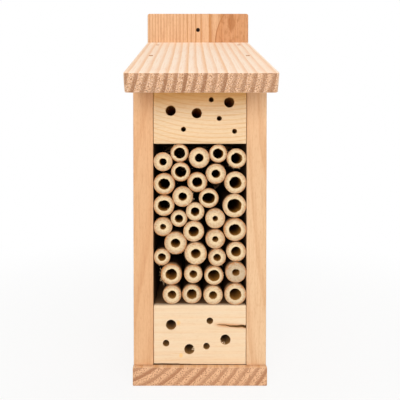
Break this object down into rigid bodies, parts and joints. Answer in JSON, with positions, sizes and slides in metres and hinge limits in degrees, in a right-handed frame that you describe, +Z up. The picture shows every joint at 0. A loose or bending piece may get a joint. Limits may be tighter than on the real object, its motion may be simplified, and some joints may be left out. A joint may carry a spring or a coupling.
{
  "type": "solitary bee house",
  "caption": "Upright nailed pine box with a sloping roof, two drilled nest blocks and a bundle of hollow bamboo canes for solitary bees, hung by a hole in its back board.",
  "frame": {"origin": "middle of the side boards' depth, on the underside of the floor board and in the plane halfway between the side boards", "axes": "+Z up, +X to the right seen from the open front, which faces -Y; the back board is on +Y"},
  "size_m": [0.0806, 0.1268, 0.2504],
  "materials": {
    "roof_wood": "planed, unfinished",
    "back_wood": "planed, unfinished",
    "side_wood": "planed, unfinished",
    "floor_wood": "planed, unfinished",
    "block_wood": "sawn, unfinished",
    "bamboo": "natural cane, saw-cut ends",
    "brad_steel": "bare wire"
  },
  "bodies": {
    "root": {"back_board": "back_wood", "back_brads": "brad_steel", "bamboo_tube_01": "bamboo", "bamboo_tube_02": "bamboo", "bamboo_tube_03": "bamboo", "bamboo_tube_04": "bamboo", "bamboo_tube_05": "bamboo", "bamboo_tube_06": "bamboo", "bamboo_tube_07": "bamboo", "bamboo_tube_08": "bamboo", "bamboo_tube_09": "bamboo", "bamboo_tube_10": "bamboo", "bamboo_tube_11": "bamboo", "bamboo_tube_12": "bamboo", "bamboo_tube_13": "bamboo", "bamboo_tube_14": "bamboo", "bamboo_tube_15": "bamboo", "bamboo_tube_16": "bamboo", "bamboo_tube_17": "bamboo", "bamboo_tube_18": "bamboo", "bamboo_tube_19": "bamboo", "bamboo_tube_20": "bamboo", "bamboo_tube_21": "bamboo", "bamboo_tube_22": "bamboo", "bamboo_tube_23": "bamboo", "bamboo_tube_24": "bamboo", "bamboo_tube_25": "bamboo", "bamboo_tube_26": "bamboo", "bamboo_tube_27": "bamboo", "bamboo_tube_28": "bamboo", "bamboo_tube_29": "bamboo", "bamboo_tube_30": "bamboo", "bamboo_tube_31": "bamboo", "bamboo_tube_32": "bamboo", "bamboo_tube_33": "bamboo", "bamboo_tube_34": "bamboo", "floor_board": "floor_wood", "floor_brads": "brad_steel", "left_side_board": "side_wood", "lower_block_left": "block_wood", "lower_block_right": "block_wood", "right_side_board": "side_wood", "roof_board": "roof_wood", "roof_brads": "brad_steel", "upper_block_left": "block_wood", "upper_block_right": "block_wood"}
  },
  "joints": []
}
